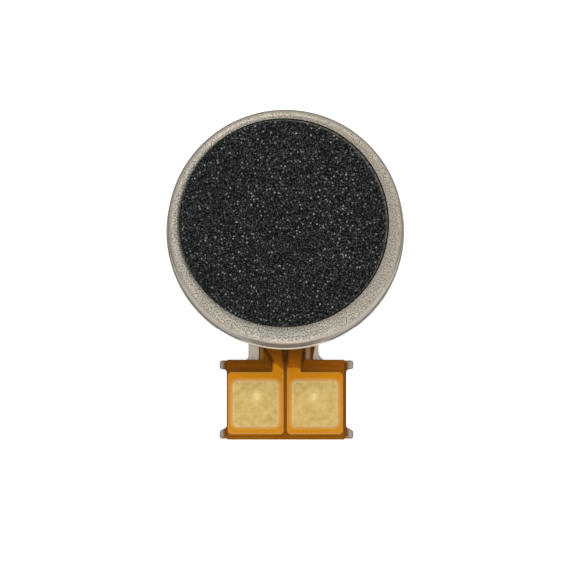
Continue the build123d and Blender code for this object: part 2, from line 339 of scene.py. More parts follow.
def slab(loops, low, high, edge, lines=(), extra=None):
    """Points and faces of a sheet with rounded edges, between two heights."""
    quarter = [radians(angle) for angle in (0, 22.5, 45, 67.5, 90)]
    rows = [(edge * (1 - sin(a)), low + edge * (1 - cos(a))) for a in quarter]
    rows += [(edge * (1 - sin(a)), high - edge * (1 - cos(a))) for a in reversed(quarter)]
    upper, upper_faces = fill([inset(loop, edge) for loop in loops], lines, extra)
    lower_points = np.column_stack((upper, np.full(len(upper), low)))
    upper_points = np.column_stack((upper, np.full(len(upper), high)))
    points = [lower_points, upper_points]
    faces = [face[::-1] for face in upper_faces.tolist()]
    faces += (upper_faces + len(upper)).tolist()
    used = {(face[i - 1], face[i]) for face in upper_faces.tolist() for i in range(3)}
    following = {a: b for a, b in used if (b, a) not in used}
    count = 2 * len(upper)
    loop_start = 0
    for loop in loops:
        size = len(loop)
        added = [along_edge(following, loop_start + i, loop_start + (i + 1) % size) for i in range(size)]
        starts = [loop_start]
        for gap, height in rows[1:-1]:
            points.append(np.column_stack((inset(loop, gap), np.full(size, height))))
            starts.append(count)
            count += size
        starts.append(len(upper) + loop_start)
        for below, above in zip(starts, starts[1:]):
            for i in range(size):
                j = (i + 1) % size
                under = added[i] if below == loop_start else []
                over = [len(upper) + point for point in reversed(added[i])] if above == starts[-1] else []
                faces.append([below + i, *under, below + j, above + j, *over, above + i])
        loop_start += size
    return np.concatenate(points), faces


def lathe(profile, segments=LATHE_SEGMENTS, closed=False):
    """Points and faces of a path of (radius, height) points turned about the shaft's axis.

    An open path starts and ends on the axis, at the top and the bottom, and a closed one runs clockwise."""
    angles = np.linspace(0, 2 * pi, segments, endpoint=False)
    points, rings = [], []
    for radius, height in profile:
        if radius < 1e-6:
            rings.append([len(points)] * segments)
            points.append((0, 0, height))
        else:
            rings.append(range(len(points), len(points) + segments))
            points += [(radius * cos(a), radius * sin(a), height) for a in angles]
    faces = []
    for inner, outer in zip(rings, rings[1:] + rings[:1] if closed else rings[1:]):
        for i in range(segments):
            j = (i + 1) % segments
            face = [inner[i], outer[i], outer[j], inner[j]]
            faces.append(list(dict.fromkeys(face)))
    return np.array(points), faces


def ring_profile(inner, outer, low, high, edge):
    """A ring's section with rounded corners, for lathe."""
    middle = (inner + outer) / 2
    corners = [(outer, high, edge), (outer, low, edge), (inner, low, edge), (inner, high, edge)]
    return rounded([(middle, high, 0), *corners, (middle, high, 0)], step=edge / 3)[:-1]


def disc_grid(radius, pitch):
    """Points and triangles of a disc in even rings, and how many points its rim has."""
    rings = max(2, round(radius / pitch))
    points = [(0.0, 0.0)]
    faces = []
    for ring in range(1, rings + 1):
        first = len(points)
        size = 6 * ring
        angles = np.arange(size) * 2 * pi / size
        points += zip(radius * ring / rings * np.cos(angles), radius * ring / rings * np.sin(angles))
        before = first - 6 * (ring - 1) if ring > 1 else 0
        inner = 6 * (ring - 1) if ring > 1 else 1
        for side in range(6):
            for i in range(ring):
                a = first + side * ring + i
                b = first + (side * ring + i + 1) % size
                c = before + (side * (ring - 1) + i) % inner
                faces.append([a, b, c])
                if i < ring - 1:
                    faces.append([b, before + (side * (ring - 1) + i + 1) % inner, c])
    return np.array(points), faces, 6 * rings


def piece(name, points, faces, smooth_all=False, weighted=True):
    """A mesh object from points in millimetres, with sharp edges unless it's smooth all over."""
    mesh = bpy.data.meshes.new(name)
    mesh.from_pydata((np.asarray(points) * MM).tolist(), [], faces)
    mesh.update()
    mesh.shade_smooth()
    if not smooth_all:
        mesh.set_sharp_from_angle(angle=SHARP_ANGLE)
    made = bpy.data.objects.new(name, mesh)
    bpy.context.scene.collection.objects.link(made)
    if weighted:
        normals = made.modifiers.new("normals", "WEIGHTED_NORMAL")
        normals.keep_sharp = True
        normals.weight = 100
    return made


def stand_in(made, node):
    """The piece replaces a CAD node, rides on that node's body, and takes its slot and material."""
    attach(made, bodies[node])
    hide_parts(node)
    made.data.materials.append(looks[slots[node]])


def apply_boolean(made, other, operation):
    """Cuts or joins another mesh object, which is then removed."""
    step = made.modifiers.new("boolean", "BOOLEAN")
    step.object = other
    step.operation = operation
    step.solver = "EXACT"
    bpy.context.view_layer.update()
    graph = bpy.context.evaluated_depsgraph_get()
    result = bpy.data.meshes.new_from_object(made.evaluated_get(graph))
    made.modifiers.clear()
    made.data = result
    made.data.set_sharp_from_angle(angle=SHARP_ANGLE)
    bpy.data.objects.remove(other)


def set_values(made, name, values):
    """A number for each point of a piece, for its material to read."""
    layer = made.data.attributes.new(name, "FLOAT", "POINT")
    layer.data.foreach_set("value", np.asarray(values, np.float32))


# ---------------------------------------------------------------- material nodes

def srgb(red, green, blue):
    """A linear colour from display values up to 255."""
    shares = [value / 255 for value in (red, green, blue)]
    linear = [s / 12.92 if s <= 0.04045 else ((s + 0.055) / 1.055) ** 2.4 for s in shares]
    return (*linear, 1.0)


class Nodes:
    """Short calls for the nodes of a material or a world."""

    def __init__(self, owner):
        owner.use_nodes = True
        self.tree = owner.node_tree

    def put(self, socket, value):
        if isinstance(value, bpy.types.NodeSocket):
            self.tree.links.new(value, socket)
        elif value is not None:
            socket.default_value = value

    def node(self, kind, *inputs, **settings):
        """A node of a kind, with its first inputs in order, where None leaves one as it is."""
        made = self.tree.nodes.new("ShaderNode" + kind)
        for name, value in settings.items():
            setattr(made, name, value)
        for socket, value in zip(made.inputs, inputs):
            self.put(socket, value)
        return made

    def math(self, operation, a, b=None):
        return self.node("Math", a, b, operation=operation).outputs[0]

    def plus(self, a, b):
        return self.math("ADD", a, b)

    def minus(self, a, b):
        return self.math("SUBTRACT", a, b)

    def times(self, a, b):
        return self.math("MULTIPLY", a, b)

    def larger(self, a, b):
        return self.math("MAXIMUM", a, b)

    def mix(self, factor, a, b, blend="MIX"):
        made = self.node("Mix", data_type="RGBA", blend_type=blend)
        self.put(made.inputs[0], factor)
        self.put(made.inputs[6], a)
        self.put(made.inputs[7], b)
        return made.outputs[2]

    def tint(self, colour, factor, *other):
        """The colour moved by a factor towards one given in display values."""
        return self.mix(factor, colour, srgb(*other))

    def blend(self, factor, a, b):
        """A number from a to b."""
        return self.node("Mix", factor, None, a, b, data_type="FLOAT").outputs[0]

    def step(self, value, low, high, start=0.0, end=1.0):
        """A smooth step from start to end as a value goes from low to high."""
        return self.node("MapRange", value, low, high, start, end, interpolation_type="SMOOTHSTEP").outputs[0]

    def fall(self, value, low, high):
        """A smooth step from one to zero."""
        return self.step(value, low, high, 1.0, 0.0)

    def band(self, value, low, high, soft):
        """One between low and high, and zero outside them, with soft ends."""
        rise = self.step(value, low - soft, low + soft)
        return self.times(rise, self.fall(value, high - soft, high + soft))


class Look(Nodes):
    """A material and its textures. Lengths are in millimetres."""

    def __init__(self, name):
        self.material = bpy.data.materials.new(name)
        super().__init__(self.material)
        self.shader = self.tree.nodes["Principled BSDF"]
        self.place = self.scaled(self.node("TexCoord").outputs["Object"], 1 / MM)
        self.axes = tuple(self.node("SeparateXYZ", self.place).outputs)
        self.flat_place = self.node("CombineXYZ", *self.axes[:2], 0.0).outputs[0]

    def noise(self, size, detail=2.0, roughness=0.5, place=None):
        return self.node("TexNoise", place or self.place, None, 1 / size, detail, roughness).outputs[0]

    def cells(self, size):
        """The distance to the nearest scattered centre, as a share of the spacing, and its random lot."""
        made = self.node("TexVoronoi", self.place, None, 1 / size, feature="F1")
        return made.outputs["Distance"], self.node("SeparateXYZ", made.outputs["Color"]).outputs[0]

    def scaled(self, place, factor):
        return self.node("VectorMath", place, None, None, factor, operation="SCALE").outputs[0]

    def stretched(self, x, y, z):
        """The place scaled along each axis."""
        return self.node("VectorMath", self.place, (x, y, z), operation="MULTIPLY").outputs[0]

    def round_place(self, radius, across):
        """A place that keeps only the angle about the shaft, on a circle, and a share of the height."""
        unit = self.node("VectorMath", self.flat_place, operation="NORMALIZE").outputs[0]
        lift = self.node("CombineXYZ", 0.0, 0.0, self.times(self.axes[2], across)).outputs[0]
        return self.node("VectorMath", self.scaled(unit, radius), lift, operation="ADD").outputs[0]

    def flat_distance(self, centre):
        """How far the place is from an upright line through a centre."""
        made = self.node("VectorMath", self.flat_place, (*centre, 0.0), operation="DISTANCE")
        return made.outputs["Value"]

    def values(self, name):
        return self.node("Attribute", attribute_name=name, attribute_type="GEOMETRY").outputs["Fac"]

    def ramp(self, value, *stops):
        """A colour through stops, each a position and a colour in display values."""
        made = self.node("ValToRGB", value)
        elements = made.color_ramp.elements
        while len(elements) < len(stops):
            elements.new(0.5)
        for element, (position, *colour) in zip(elements, stops):
            element.position = position
            element.color = srgb(*colour)
        return made.outputs["Color"]

    def finish(self, colour, relief, depth, roughness, **sockets):
        """The material, with a relief of a depth, and more sockets, named with underscores for spaces."""
        normal = self.node("Bump", None, depth * MM, None, relief).outputs["Normal"]
        sockets |= {"Base Color": colour, "Normal": normal, "Roughness": roughness}
        for name, value in sockets.items():
            self.put(self.shader.inputs[name.replace("_", " ")], value)
        return self.material


# ---------------------------------------------------------------- materials

def case_metal():
    """Blasted nickel plate on the flat top, satin over the shoulder, less glossy on the wall's near side,
    with painted shade darkening the wall and the skirt's side and a painted highlight on the skirt's rim
    above the tail.
    """
    look = Look("case_nickel")
    x, y, z = look.axes
    on_flat = look.step(z, 2.645, 2.695)
    grain = look.noise(0.060, detail=1.0, roughness=0.6)
    streaks = look.noise(0.05, detail=2.5, place=look.round_place(CASE_WALL_RADIUS, 0.02))
    blasted = look.ramp(grain, (0.34, 112, 107, 98), (0.46, 190, 184, 171), (0.58, 218, 210, 195),
                        (0.70, 248, 241, 226))
    # The side away from the tail, to the right, is smoother and a little warmer
    satin = look.ramp(grain, (0.30, 140, 131, 115), (0.70, 200, 190, 172))
    smooth_side = look.step(look.plus(x, look.times(y, 0.6)), -1.5, 4.0, 0.0, 0.65)
    blasted = look.mix(smooth_side, blasted, satin)
    drawn = look.ramp(streaks, (0.30, 181, 172, 157), (0.50, 191, 182, 166), (0.70, 200, 191, 175))
    speckle = look.ramp(grain, (0.30, 188, 186, 180), (0.60, 250, 250, 250))
    drawn = look.mix(look.step(z, 2.50, 2.62), drawn, speckle, "MULTIPLY")
    # Painted shade over the shoulder and wall, on the left, far and near sides
    painted_side_shade = look.larger(look.step(x, -1.0, -4.0, 0.0, 0.45), look.step(y, 3.0, 4.5, 0.0, 0.22))
    painted_side_shade = look.larger(painted_side_shade, look.step(y, -2.5, -4.0, 0.0, 0.14))
    drawn = look.tint(drawn, painted_side_shade, 150, 144, 132)
    # Painted shade darkens the wall and the skirt's side, most on the wall's near side, and a painted
    # highlight brightens the skirt's rim above the tail
    near_side = look.step(y, -1.0, -3.0)
    by_tail = look.step(y, -4.45, -4.75)
    raised = look.plus(z, look.times(near_side, look.blend(by_tail, 0.12, 0.05)))
    # Painted shade on the wall, darkest on its near side
    wall = look.blend(near_side, 0.80, look.blend(by_tail, 0.40, 0.56))
    wall = look.step(raised, 2.54, 2.66, wall, 1.0)
    # Painted shade on the skirt's side
    skirt = look.blend(look.minus(near_side, by_tail), 0.45, 0.90)
    skirt = look.step(z, SKIRT_TOP, SKIRT_TOP + 0.03, skirt, 1.0)
    # A painted shadow line where the wall meets the shoulder, faint on the near side
    outline = look.times(look.band(z, 2.40, 2.60, 0.04), look.blend(near_side, 0.72, 0.15))
    wall = look.times(look.times(wall, skirt), look.minus(1.0, outline))
    # A painted highlight on the skirt by the tail
    rim = look.times(look.fall(z, SKIRT_TOP, SKIRT_TOP + 0.07), look.times(by_tail, 1.5))
    cooler = look.times(look.band(z, 0.7, 2.5, 0.08), look.times(by_tail, 0.6))
    drawn = look.tint(drawn, cooler, 148, 160, 170)
    drawn = look.mix(1.0, drawn, look.larger(wall, rim), "MULTIPLY")
    colour = look.mix(on_flat, drawn, blasted)
    colour = look.tint(colour, look.step(look.noise(0.7), 0.3, 0.75, 0.0, 0.18), 140, 134, 122)
    # A painted shadow lies on the metal along the foam's left edge
    foam_centre, foam_radius = plan("foam_pad")
    ragged = look.times(look.minus(grain, 0.5), 0.12)
    from_foam = look.plus(look.flat_distance(foam_centre), ragged)
    painted_foam_shadow = look.step(from_foam, foam_radius + 0.01, foam_radius + 0.15, 0.8, 0.0)
    painted_foam_shadow = look.times(painted_foam_shadow, look.fall(look.minus(x, look.times(y, 0.5)), -4.0, -1.5))
    colour = look.tint(colour, painted_foam_shadow, 62, 60, 54)
    drawn_rough = look.blend(look.step(z, 2.40, 2.56), look.blend(near_side, 0.36, 0.50),
                             look.step(streaks, 0.2, 0.8, 0.36, 0.46))
    rough = look.blend(on_flat, drawn_rough, look.step(grain, 0.2, 0.8, 0.56, 0.42))
    metallic = look.step(z, 2.30, 2.50, look.blend(near_side, 1.0, 0.55), 1.0)
    relief = look.blend(on_flat, look.times(streaks, 0.25), grain)
    return look.finish(colour, relief, 0.008, rough, Metallic=metallic)


def sheared_steel():
    """Rolled sheet steel: fine lines, painted shade along its edges, painted light in the neck, and brown
    towards the film at the ears.
    """
    look = Look("bracket_rolled_steel")
    x, y, z = look.axes
    lines = look.noise(0.10, detail=3, place=look.stretched(1.0, 0.06, 1.0))
    cloud = look.noise(0.8, detail=3)
    pits = look.noise(0.06, detail=1)
    colour = look.ramp(lines, (0.25, 196, 187, 171), (0.5, 220, 210, 193), (0.75, 240, 230, 214))
    colour = look.tint(colour, look.step(cloud, 0.35, 0.75, 0.0, 0.30), 168, 158, 143)
    # Painted light brightens the steel in the neck
    neck_painted_lighting = look.times(look.band(y, -5.25, -4.0, 0.1), 0.45)
    colour = look.tint(colour, neck_painted_lighting, 250, 240, 223)
    ragged = look.times(look.minus(pits, 0.5), 0.03)
    off_centre = look.times(look.math("ABSOLUTE", look.minus(x, TAIL_CENTRE)), look.fall(y, -5.20, -5.10))
    # Painted shade along the plate's rounded edges, darkest at the ears
    edge = look.fall(look.plus(look.values("from_edge"), ragged), 0.01, 0.08)
    edge = look.times(edge, look.step(off_centre, 2.52, 2.62, 0.30, 0.75))
    colour = look.tint(colour, edge, 84, 76, 64)
    colour = look.tint(colour, look.step(off_centre, 2.52, 2.64, 0.0, 0.5), 156, 147, 134)
    at_ears = look.times(look.step(off_centre, 2.0, 2.3), look.step(z, 0.15, 0.19))
    # Brown towards the film's ends at the ears
    brown_by_film = look.fall(look.plus(look.values("from_film"), ragged), 0.10, 0.26)
    brown_by_film = look.times(brown_by_film, at_ears)
    colour = look.tint(colour, brown_by_film, 124, 76, 16)
    # Heat has tinted the steel round the shaft on the underside
    round_shaft = look.band(look.flat_distance((0, 0)), 0.55, 1.05, 0.25)
    heat = look.times(round_shaft, look.step(z, 0.02, 0.05, 0.5, 0.0))
    colour = look.tint(colour, heat, 170, 140, 92)
    relief = look.plus(look.times(lines, 0.6), look.times(pits, 0.4))
    rough = look.step(cloud, 0.2, 0.8, 0.38, 0.52)
    return look.finish(colour, relief, 0.004, rough, Metallic=look.blend(brown_by_film, 1.0, 0.0),
                       Specular_IOR_Level=0.1)


def foam_rubber():
    """Black cellular foam: a dull skin, with painted highlights on the tops of its cells and painted shade in
    its open cells.
    """
    look = Look("foam_black")
    near = look.values("near")
    size = look.values("size")
    grain = look.noise(0.058, roughness=0.65)
    base = look.ramp(grain, (0.41, 1, 1, 1), (0.52, 16, 18, 18), (0.64, 74, 77, 76))
    base = look.tint(base, look.step(look.noise(0.9), 0.35, 0.75, 0.0, 0.20), 10, 11, 12)
    small, lot = look.cells(0.085)
    # Painted highlights on small scattered cells
    painted_small_glint = look.times(look.fall(small, 0.10, 0.36), look.math("POWER", lot, 3.0))
    base = look.tint(base, painted_small_glint, 104, 108, 106)
    # Painted highlights on the tops of the domed cells
    painted_cell_glint = look.times(look.fall(near, 0.006, 0.043), look.math("POWER", look.larger(size, 0.0), 2.7))
    colour = look.tint(base, painted_cell_glint, 164, 168, 166)
    # Painted shade in the open cells
    painted_pit_shade = look.times(look.fall(near, 0.02, 0.05), look.fall(size, -0.02, 0.02))
    colour = look.tint(colour, painted_pit_shade, 2, 2, 2)
    return look.finish(colour, grain, 0.008, 0.6, Specular_IOR_Level=0.07)


def adhesive_film():
    """Thin black carrier film, black at its cut edge and dusty with foam crumbs further in."""
    look = Look("adhesive_black")
    grain = look.noise(0.10, detail=3)
    crumbs = look.ramp(grain, (0.35, 62, 62, 59), (0.65, 122, 121, 115))
    colour = look.mix(look.step(look.values("from_edge"), 0.035, 0.065), srgb(4, 4, 4), crumbs)
    rough = look.step(grain, 0.3, 0.7, 0.42, 0.60)
    return look.finish(colour, grain, 0.003, rough, Specular_IOR_Level=0.1)


def polyimide_film():
    """Amber film: bright over copper, dark past it over glue and steel, with painted shade near the case and
    in the neck, painted highlights along the copper's and the windows' edges, and painted reflections in the
    neck.
    """
    look = Look("coverlay_amber")
    x, y, _ = look.axes
    depth = look.values("copper")
    cloud = look.noise(0.9, detail=3)
    fine = look.noise(0.07)
    streaks = look.noise(0.20, detail=3, place=look.stretched(0.12, 1.0, 1.0))

    over_copper = look.mix(look.step(y, -8.3, -6.0), srgb(210, 139, 28), srgb(219, 140, 14))
    over_copper = look.tint(over_copper, look.step(cloud, 0.35, 0.7, 0.0, 0.25), 204, 130, 18)
    # Painted shade near the case darkens the copper, starting along a slanting line on the left and a
    # straight one on the right
    slant = look.plus(look.plus(y, 5.47), look.times(look.plus(x, 0.53), 0.77))
    straight = look.step(y, -5.80, -5.72)
    painted_case_shade = look.blend(look.step(x, -0.05, 0.03), look.step(slant, -0.06, 0.04), straight)
    # Painted shade: the copper's colour in the neck, darker towards the case
    neck_painted_lighting = look.mix(look.step(y, -5.75, -5.0), srgb(172, 99, 3), srgb(122, 70, 3))
    over_copper = look.mix(painted_case_shade, over_copper, neck_painted_lighting)

    past_copper = look.mix(look.step(x, 0.2, 2.2), srgb(116, 64, 1), srgb(146, 83, 4))
    past_copper = look.tint(past_copper, look.fall(y, -8.4, -7.5), 140, 85, 7)
    past_copper = look.tint(past_copper, look.step(streaks, 0.45, 0.75, 0.0, 0.35), 160, 96, 10)
    past_copper = look.tint(past_copper, look.step(streaks, 0.25, 0.45, 0.30, 0.0), 84, 46, 1)
    in_gap = look.times(look.band(x, -0.15, 0.15, 0.03), look.fall(y, -6.0, -5.8))
    past_copper = look.tint(past_copper, in_gap, 138, 78, 4)

    colour = look.mix(look.step(depth, -0.022, 0.022), past_copper, over_copper)
    # A painted highlight along the copper's edges, fainter towards the neck
    painted_edge_highlight = look.times(look.step(depth, -0.02, 0.02), look.fall(depth, 0.03, 0.09))
    painted_edge_highlight = look.times(painted_edge_highlight, look.step(y, -6.0, -5.7, 0.40, 0.05))
    colour = look.tint(colour, painted_edge_highlight, 222, 166, 96)
    # A painted highlight along the windows' edges
    colour = look.tint(colour, look.step(look.values("window"), 0.0, 0.13, 0.66, 0.0), 226, 174, 112)
    # A painted shadow line along the copper's edge, strongest in the neck
    painted_shadow_line = look.times(look.step(depth, -0.11, -0.03), look.fall(depth, 0.02, 0.12))
    painted_shadow_line = look.times(painted_shadow_line, look.step(y, -5.8, -5.4, 0.1, 0.8))
    colour = look.tint(colour, painted_shadow_line, 56, 31, 5)

    # In the neck, beside the copper, painted reflections make the film light brown at the left and light grey
    # at the right
    in_length = look.band(y, -5.38, -4.85, 0.07)
    painted_pale_reflection = look.times(look.band(x, -1.05, -0.93, 0.05), in_length)
    colour = look.tint(colour, look.times(painted_pale_reflection, 0.65), 150, 114, 66)
    painted_white_reflection = look.times(look.band(x, 0.87, 1.02, 0.06), in_length)
    colour = look.tint(colour, look.times(painted_white_reflection, 0.75), 158, 142, 120)
    # Painted shade in bands along the film's edges and right of the copper
    shade = look.larger(look.band(x, -1.14, -1.085, 0.015), look.band(x, 1.07, 1.30, 0.015))
    shade = look.larger(shade, look.band(x, 0.70, 0.82, 0.03))
    colour = look.tint(colour, look.times(shade, look.times(in_length, 0.7)), 60, 42, 16)
    return look.finish(colour, fine, 0.0015, look.step(fine, 0.3, 0.7, 0.22, 0.30), Specular_IOR_Level=0.08)


def contact_gold():
    """Gold plate: matte, mottled, paler by the window, with a painted highlight in the probe marks."""
    look = Look("contact_gold")
    probe_mark_and_glint = look.values("probe_mark_and_glint")
    grain = look.noise(0.06)
    cloud = look.noise(0.26, detail=4, roughness=0.6)
    colour = look.ramp(cloud, (0.30, 208, 178, 104), (0.5, 225, 195, 121), (0.70, 238, 210, 139))
    colour = look.tint(colour, look.step(grain, 0.4, 0.7, 0.0, 0.30), 218, 188, 120)
    colour = look.tint(colour, look.step(look.noise(0.7), 0.5, 0.75, 0.0, 0.40), 236, 200, 104)
    colour = look.tint(colour, look.step(look.values("from_edge"), 0.02, 0.14, 0.35, 0.0), 246, 216, 156)
    # A painted highlight in the probe marks
    colour = look.tint(colour, probe_mark_and_glint, 255, 230, 156)
    relief = look.times(grain, look.blend(probe_mark_and_glint, 0.35, 3.0))
    metallic = look.step(probe_mark_and_glint, 0.2, 0.9, 1.0, 0.25)
    return look.finish(colour, relief, 0.006, look.blend(probe_mark_and_glint, 0.58, 0.40), Metallic=metallic)


def grained(name, size, dark, light, rough, depth, stretch=(1.0, 1.0, 1.0), **sockets):
    """A material whose one grain varies its colour, gloss and relief."""
    look = Look(name)
    grain = look.noise(size, detail=3, place=look.stretched(*stretch))
    colour = look.ramp(grain, (0.3, *dark), (0.7, *light))
    return look.finish(colour, grain, depth, look.step(grain, 0.3, 0.7, *rough), **sockets)


def metal(*grain):
    return grained(*grain, Metallic=1.0)


def all_looks():
    """Each material, by the record's slot."""
    return {
        "case_steel": case_metal(),
        "bracket_steel": sheared_steel(),
        "foam_rubber": foam_rubber(),
        "foam_adhesive_film": adhesive_film(),
        "coverlay_polyimide": polyimide_film(),
        "contact_gold": contact_gold(),
        "bond_adhesive": grained(
            "bond_tape_brown", 0.12, (78, 52, 16), (132, 90, 40), (0.45, 0.62), 0.003,
            Specular_IOR_Level=0.1),
        "base_polyimide": grained(
            "base_film_amber", 0.2, (96, 54, 3), (150, 88, 10), (0.30, 0.42), 0.002,
            Specular_IOR_Level=0.2),
        "trace_copper": metal(
            "trace_copper", 0.08, (196, 120, 84), (232, 156, 112), (0.30, 0.44), 0.002, (1.0, 0.2, 1.0)),
        "shaft_steel": metal(
            "shaft_ground_steel", 0.05, (168, 168, 170), (214, 214, 216), (0.14, 0.24), 0.001,
            (0.2, 0.2, 2.0)),
        "washer_plastic": grained(
            "washer_film_white", 0.15, (206, 203, 192), (228, 226, 216), (0.42, 0.55), 0.002,
            Subsurface_Weight=0.2),
        "magnet_plating": metal(
            "magnet_nickel", 0.50, (164, 161, 154), (177, 174, 167), (0.24, 0.32), 0.002),
        "brush_alloy": metal(
            "brush_alloy_gold", 0.06, (186, 146, 84), (226, 186, 118), (0.22, 0.34), 0.001,
            (1.0, 0.15, 1.0)),
        "solder_tin": metal(
            "solder_tin", 0.10, (172, 174, 178), (214, 216, 218), (0.22, 0.46), 0.004),
        "sintered_bronze": metal(
            "bearing_bronze", 0.05, (96, 68, 38), (176, 132, 82), (0.42, 0.62), 0.006),
        "commutator_gold": metal(
            "commutator_gold", 0.05, (206, 168, 88), (240, 206, 124), (0.16, 0.30), 0.001),
        "weight_tungsten": metal(
            "weight_tungsten", 0.06, (92, 92, 94), (142, 142, 144), (0.46, 0.64), 0.006),
        "mould_resin": grained(
            "mould_resin_black", 0.07, (16, 16, 18), (36, 36, 39), (0.40, 0.60), 0.004,
            Specular_IOR_Level=0.4),
        "board_laminate": grained(
            "board_green", 0.12, (14, 66, 34), (34, 100, 54), (0.24, 0.40), 0.003, Coat_Weight=0.3),
        "coil_wire": grained(
            "coil_wire_enamel", 0.08, (150, 66, 26), (206, 108, 50), (0.20, 0.32), 0.002, Metallic=0.9,
            Coat_Weight=0.4),
    }


# ---------------------------------------------------------------- pieces

def build_case():
    """The drawn cup, with a notch in its skirt where the tail comes out."""
    foot, _, top = span("case_cup")[1]
    plate_top = span("fpc_bond_tape")[0][2]
    inner = CASE_WALL_RADIUS - CASE_THICKNESS
    seat = foot - SKIRT_THICKNESS
    profile = rounded([
        (0, top, 0),
        (CASE_WALL_RADIUS, top, CASE_SHOULDER),
        (CASE_WALL_RADIUS, SKIRT_TOP, SKIRT_ROOT),
        (SKIRT_TOP_RADIUS, SKIRT_TOP, SKIRT_EDGE),
        (foot, 0, SKIRT_FOOT_EDGE),
        (seat, 0, 0),
        (seat, plate_top, 0),
        (inner, plate_top, 0),
        (inner, top - CASE_THICKNESS, CASE_INNER_CORNER),
        (0, top - CASE_THICKNESS, 0),
    ])
    made = piece("case_cup_shell", *lathe(profile), weighted=False)
    neck = flat_loops("bracket", 0.0)[0]
    in_skirt = neck[np.abs(neck[:, 1] + foot) < NECK_REACH]
    left = in_skirt[:, 0].min() - NOTCH_CLEARANCE
    right = in_skirt[:, 0].max() + NOTCH_CLEARANCE
    near, far = -foot - NOTCH_DEPTH, -foot + NOTCH_DEPTH
    roof = span("fpc_coverlay")[1][2] + NOTCH_GAP
    box = np.array([(left, near), (right, near), (right, far), (left, far)])
    notch = slab([box], -NOTCH_DEPTH, roof, PLATE_EDGE)
    apply_boolean(made, piece("notch", *notch, weighted=False), "DIFFERENCE")
    stand_in(made, "case_cup")


def build_bracket():
    """The base plate, with a drawn boss that grips the shaft and a chamfered mouth under it."""
    boss_top = span("bracket")[1][2]
    top = span("fpc_bond_tape")[0][2]
    bore = span("shaft")[1][0]
    outline = outlines("bracket", from_below=True)[0]
    film = flat_loops("fpc_base_film", span("fpc_base_film")[1][2])[0]
    ring = inset(outline, PLATE_EDGE)
    shade = inset(outline, EDGE_SHADE)
    film_end = film[film[:, 1] < TAIL_START][:, 1].max()
    grid = lattice(outline.min(0), (outline[:, 0].max(), film_end), EAR_GRID)
    grid = grid[np.abs(grid[:, 0]) > EAR_START]
    grid = grid[(depth_in(grid, ring) > EAR_GRID / 3) & (np.abs(depth_in(grid, shade)) > EAR_GRID / 3)]
    made = piece("bracket_plate", *slab([outline], 0.0, top, PLATE_EDGE, lines=[shade], extra=grid))
    boss = lathe(rounded([
        (0, boss_top, 0),
        (BOSS_RADIUS, boss_top, BOSS_EDGE),
        (BOSS_RADIUS, top, BOSS_ROOT),
        (BOSS_RADIUS + 2 * BOSS_ROOT, top - PLATE_EDGE, 0),
        (0, top / 2, 0),
    ]), INNER_SEGMENTS)
    drill = lathe([
        (0, boss_top + DRILL_OVER),
        (bore, boss_top + DRILL_OVER),
        (bore, SHAFT_MOUTH),
        (bore + 2 * SHAFT_MOUTH, -SHAFT_MOUTH),
        (0, -SHAFT_MOUTH),
    ], INNER_SEGMENTS)
    apply_boolean(made, piece("boss", *boss, weighted=False), "UNION")
    apply_boolean(made, piece("drill", *drill, weighted=False), "DIFFERENCE")
    flat = np.array([vertex.co[:2] for vertex in made.data.vertices]) / MM
    set_values(made, "from_edge", depth_in(flat, outline))
    set_values(made, "from_film", -depth_in(flat, film))
    stand_in(made, "bracket")


def build_layer(node, outset=0.0):
    """A thin sheet of a CAD node's outline, moved out past it at its sides by an outset but not at its far
    end.
    """
    low, high = span(node)
    loops = [inset(loop, -outset) for loop in outlines(node)]
    points, faces = slab(loops, low[2], high[2], LAYER_EDGE)
    points[:, 1] = np.maximum(points[:, 1], low[1])
    stand_in(piece(node + "_sheet", points, faces), node)


def build_coverlay():
    """The top film: it sinks a little between the traces, and is open over the contacts."""
    low, high = span("fpc_coverlay")
    copper_top = span("fpc_trace_left")[1][2]
    loops = outlines("fpc_coverlay")
    traces = [outlines(f"fpc_trace_{side}")[0] for side in ("left", "right")]
    rings = [inset(loop, COVERLAY_EDGE) for loop in loops]
    lines = [inset(trace, gap) for trace in traces for gap in (-SINK_REACH / 2, SINK_REACH / 2)]
    grid = lattice(low[:2], (high[0], GRID_END), COVERLAY_GRID)
    clear = inside(grid, rings)
    for line in [*rings, *lines]:
        clear &= np.abs(depth_in(grid, line)) > COVERLAY_GRID * 0.35
    points, faces = slab(loops, low[2], high[2], COVERLAY_EDGE, lines=lines, extra=grid[clear])
    depth = np.max([depth_in(points[:, :2], trace) for trace in traces], axis=0)
    floor = low[2] + (copper_top - low[2]) * smoothstep(depth, -COPPER_EDGE, COPPER_EDGE)
    roof = high[2] - COVERLAY_SINK * (1 - smoothstep(depth, -SINK_REACH, SINK_REACH))
    share = (points[:, 2] - low[2]) / (high[2] - low[2])
    points[:, 2] = floor + (roof - floor) * share
    made = piece("fpc_coverlay_sheet", points, faces)
    windows = [hole for hole in loops[1:] if hole[:, 1].max() < TAIL_START]
    set_values(made, "copper", depth)
    set_values(made, "window", np.min([np.abs(depth_in(points[:, :2], hole)) for hole in windows], axis=0))
    stand_in(made, "fpc_coverlay")


